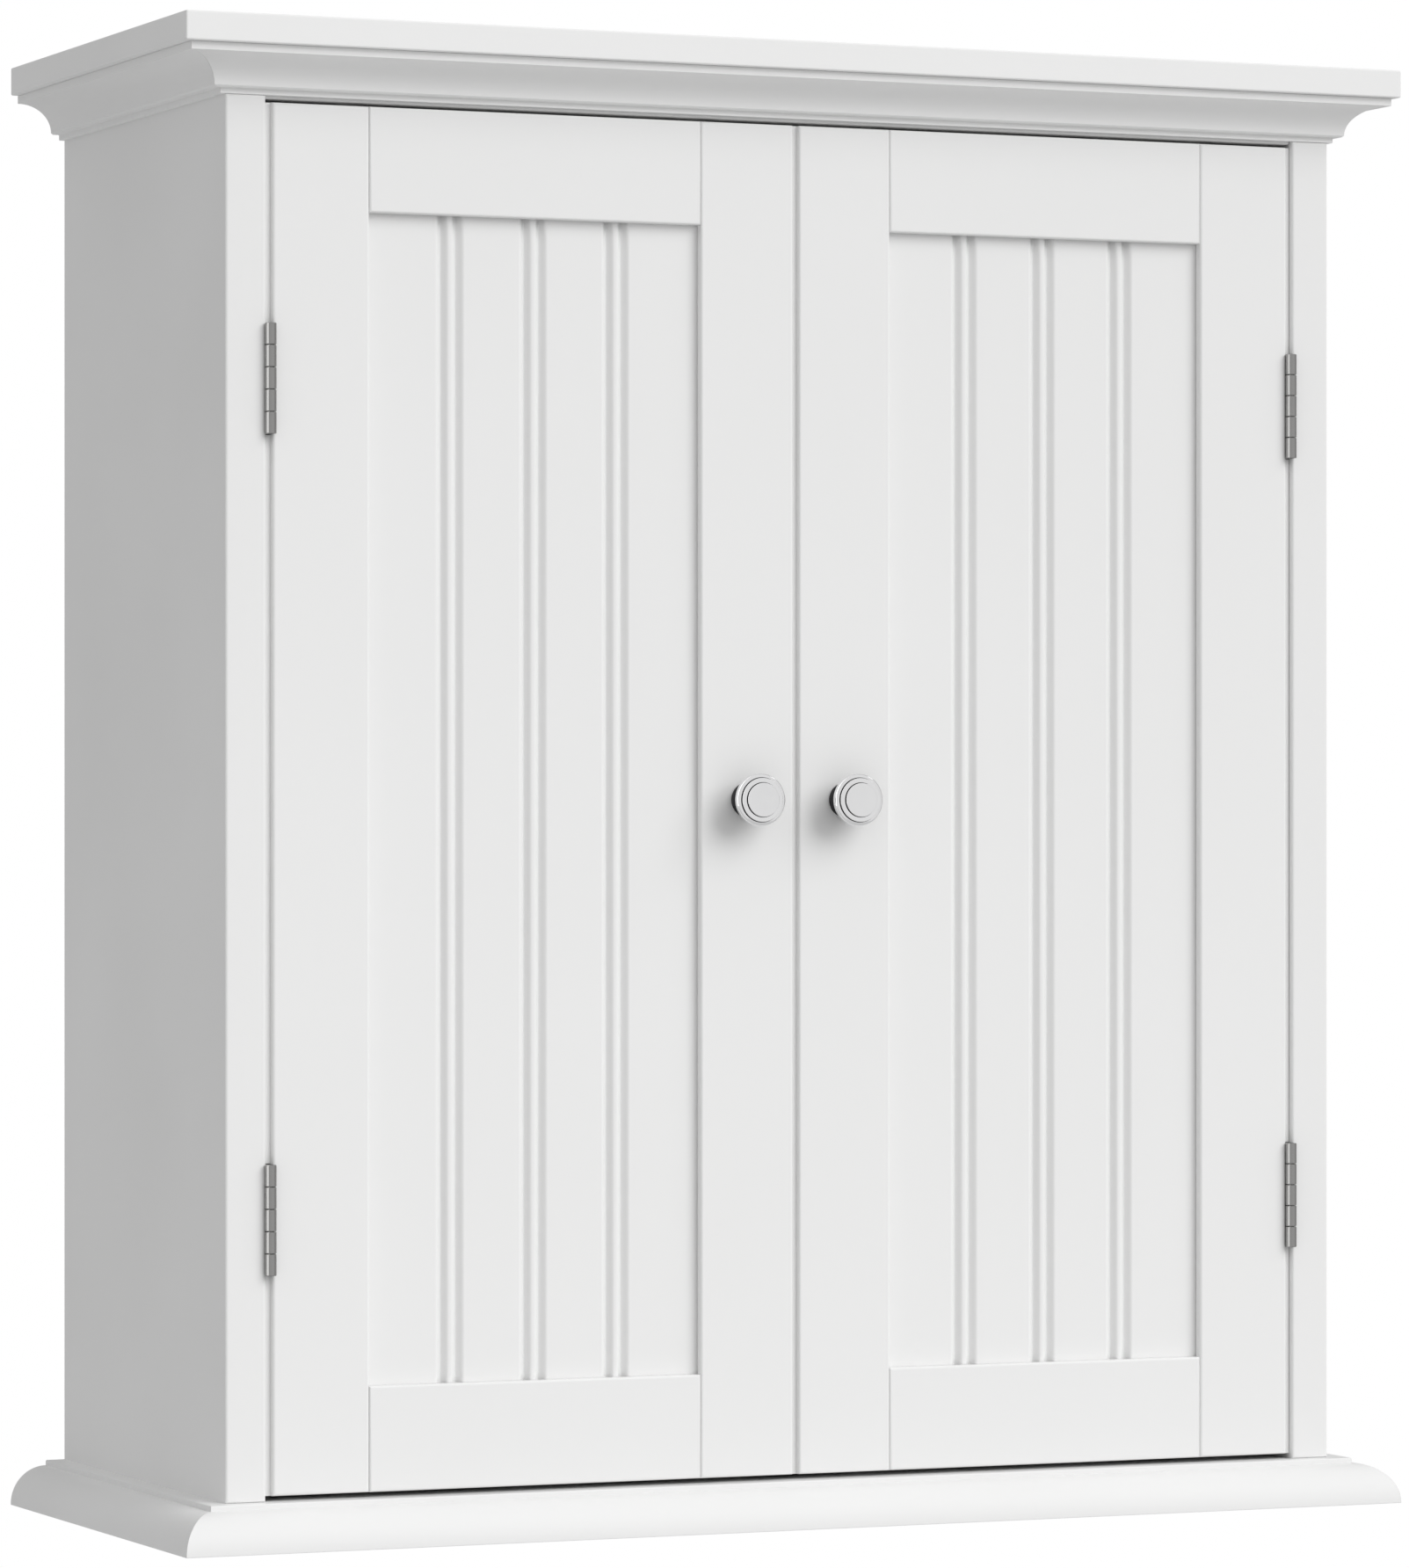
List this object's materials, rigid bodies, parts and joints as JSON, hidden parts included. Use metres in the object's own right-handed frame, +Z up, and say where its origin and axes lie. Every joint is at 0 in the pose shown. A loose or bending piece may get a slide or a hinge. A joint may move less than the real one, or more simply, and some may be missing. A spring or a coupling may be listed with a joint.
{
  "type": "hanging wall cabinet",
  "caption": "Wall-hung storage cabinet with a cove crown and base moulding, framed and beaded doors on butt hinges, round knobs, adjustable shelves and a hanging rail.",
  "frame": {"origin": "centre of the underside of the cabinet's box, level with the bottom of the base moulding", "axes": "+Z up, -Y out of the front (the doors), +Y into the wall, +X to the right as seen from the front"},
  "size_m": [0.5458, 0.2276, 0.61],
  "materials": {
    "carcass_white": "satin white paint on MDF",
    "moulding_white": "satin white paint on MDF moulding",
    "door_white": "satin white paint on MDF",
    "hinge_nickel": "polished nickel plate",
    "knob_chrome": "polished chrome plate",
    "zinc_steel": "bright zinc plate",
    "catch_plastic": "fine moulded texture"
  },
  "bodies": {
    "cabinet": {"back_panel": "carcass_white", "base_front": "moulding_white", "base_left": "moulding_white", "base_right": "moulding_white", "bottom_panel": "carcass_white", "catch_body_left": "catch_plastic", "catch_body_right": "catch_plastic", "crown_front": "moulding_white", "crown_left": "moulding_white", "crown_right": "moulding_white", "hanging_rail": "carcass_white", "hinge_left_lower_cabinet_leaf": "hinge_nickel", "hinge_left_lower_pin": "hinge_nickel", "hinge_left_upper_cabinet_leaf": "hinge_nickel", "hinge_left_upper_pin": "hinge_nickel", "hinge_right_lower_cabinet_leaf": "hinge_nickel", "hinge_right_lower_pin": "hinge_nickel", "hinge_right_upper_cabinet_leaf": "hinge_nickel", "hinge_right_upper_pin": "hinge_nickel", "lower_back_rail": "carcass_white", "shelf_lower": "carcass_white", "shelf_pin_lower_left_back": "zinc_steel", "shelf_pin_lower_left_front": "zinc_steel", "shelf_pin_lower_right_back": "zinc_steel", "shelf_pin_lower_right_front": "zinc_steel", "shelf_pin_upper_left_back": "zinc_steel", "shelf_pin_upper_left_front": "zinc_steel", "shelf_pin_upper_right_back": "zinc_steel", "shelf_pin_upper_right_front": "zinc_steel", "shelf_upper": "carcass_white", "side_panel_left": "carcass_white", "side_panel_right": "carcass_white", "top_board": "moulding_white", "top_panel": "carcass_white", "wall_hanger_left": "zinc_steel", "wall_hanger_right": "zinc_steel"},
    "door_left": {"catch_strike_left": "zinc_steel", "door_left_bead_panel": "door_white", "door_left_bottom_rail": "door_white", "door_left_hinge_stile": "door_white", "door_left_meeting_stile": "door_white", "door_left_top_rail": "door_white", "hinge_left_lower_door_leaf": "hinge_nickel", "hinge_left_upper_door_leaf": "hinge_nickel", "knob_left": "knob_chrome", "knob_screw_left": "zinc_steel"},
    "door_right": {"catch_strike_right": "zinc_steel", "door_right_bead_panel": "door_white", "door_right_bottom_rail": "door_white", "door_right_hinge_stile": "door_white", "door_right_meeting_stile": "door_white", "door_right_top_rail": "door_white", "hinge_right_lower_door_leaf": "hinge_nickel", "hinge_right_upper_door_leaf": "hinge_nickel", "knob_right": "knob_chrome", "knob_screw_right": "zinc_steel"}
  },
  "joints": [
    {"name": "door_left_hinge", "type": "hinge", "parent": "cabinet", "child": "door_left", "pos_m": [-0.23053, -0.0938, 0.29905], "axis": [0, 0, -1], "range_deg": [0, 180]},
    {"name": "door_right_hinge", "type": "hinge", "parent": "cabinet", "child": "door_right", "pos_m": [0.23053, -0.0938, 0.29905], "axis": [0, 0, 1], "range_deg": [0, 180]}
  ]
}
